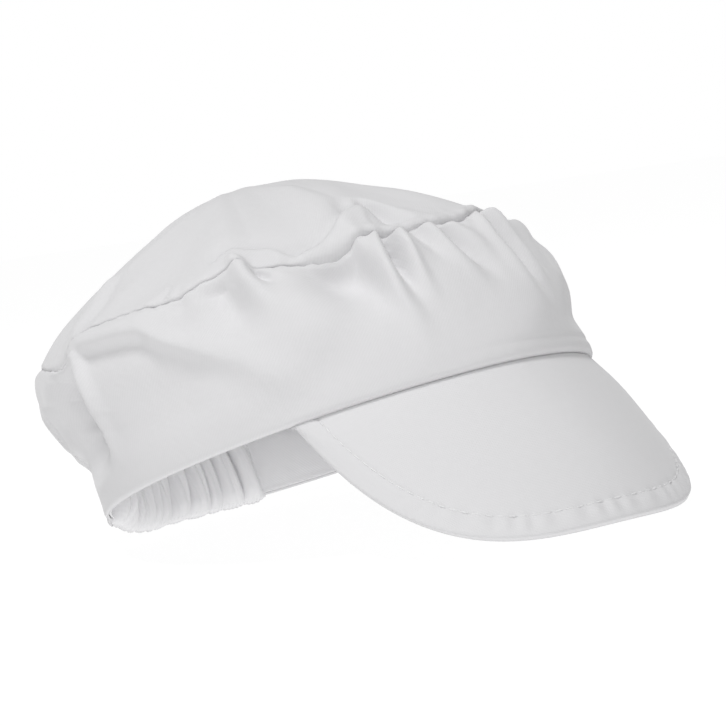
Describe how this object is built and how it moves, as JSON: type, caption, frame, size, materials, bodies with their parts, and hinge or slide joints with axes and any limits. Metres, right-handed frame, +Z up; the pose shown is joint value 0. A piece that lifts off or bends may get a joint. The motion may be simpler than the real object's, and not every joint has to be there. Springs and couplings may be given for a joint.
{
  "type": "peaked work cap",
  "caption": "Soft white peaked work cap with a gathered cloth crown, a stiffened cloth-covered peak and an elastic casing at the back.",
  "frame": {"origin": "on the surface the cap stands on, under the middle of its bounding box", "axes": "+Z up; the peak points to -Y; +X is the wearer's left; the cap leans back on its rim, as it stands on its peak and the back of its rim"},
  "size_m": [0.1592, 0.2427, 0.1093],
  "materials": {
    "crown_cloth": "matte white twill-woven polycotton",
    "facing_cloth": "matte white polycotton, wrong side out",
    "peak_cloth": "matte white polycotton stretched over a stiffener",
    "elastic": "woven elastic",
    "stiffener": "flexible sheet stiffener",
    "label": "smooth satin tape, blank",
    "thread": "spun white sewing thread"
  },
  "bodies": {
    "crown": {"crown_top": "crown_cloth", "crown_side": "crown_cloth", "headband": "facing_cloth", "crown_seam_thread": "thread", "back_seam_thread": "thread", "headband_thread": "thread", "peak_seam_thread": "thread"},
    "peak": {"peak_top_cover": "peak_cloth", "peak_board": "stiffener", "peak_under_cover": "peak_cloth", "peak_edge_thread": "thread"},
    "back_band": {"back_casing": "facing_cloth", "back_elastic": "elastic", "casing_thread": "thread", "casing_end_tacks": "thread", "care_label": "label", "label_thread": "thread"}
  },
  "joints": [
    {"name": "peak_flex", "type": "hinge", "parent": "crown", "child": "peak", "pos_m": [0, -0.06472, 0.04298], "axis": [-1, 0, 0], "range_deg": [-12, 20], "stiffness_Nm_per_rad": 0.8, "deforming": ["crown_side", "headband", "peak_seam_thread", "headband_thread"]},
    {"name": "back_stretch", "type": "slide", "parent": "crown", "child": "back_band", "axis": [0, 1, 0], "range_m": [0, 0.012], "stiffness_N_per_m": 200, "deforming": ["crown_side", "back_casing", "back_elastic", "back_seam_thread", "headband"]}
  ]
}
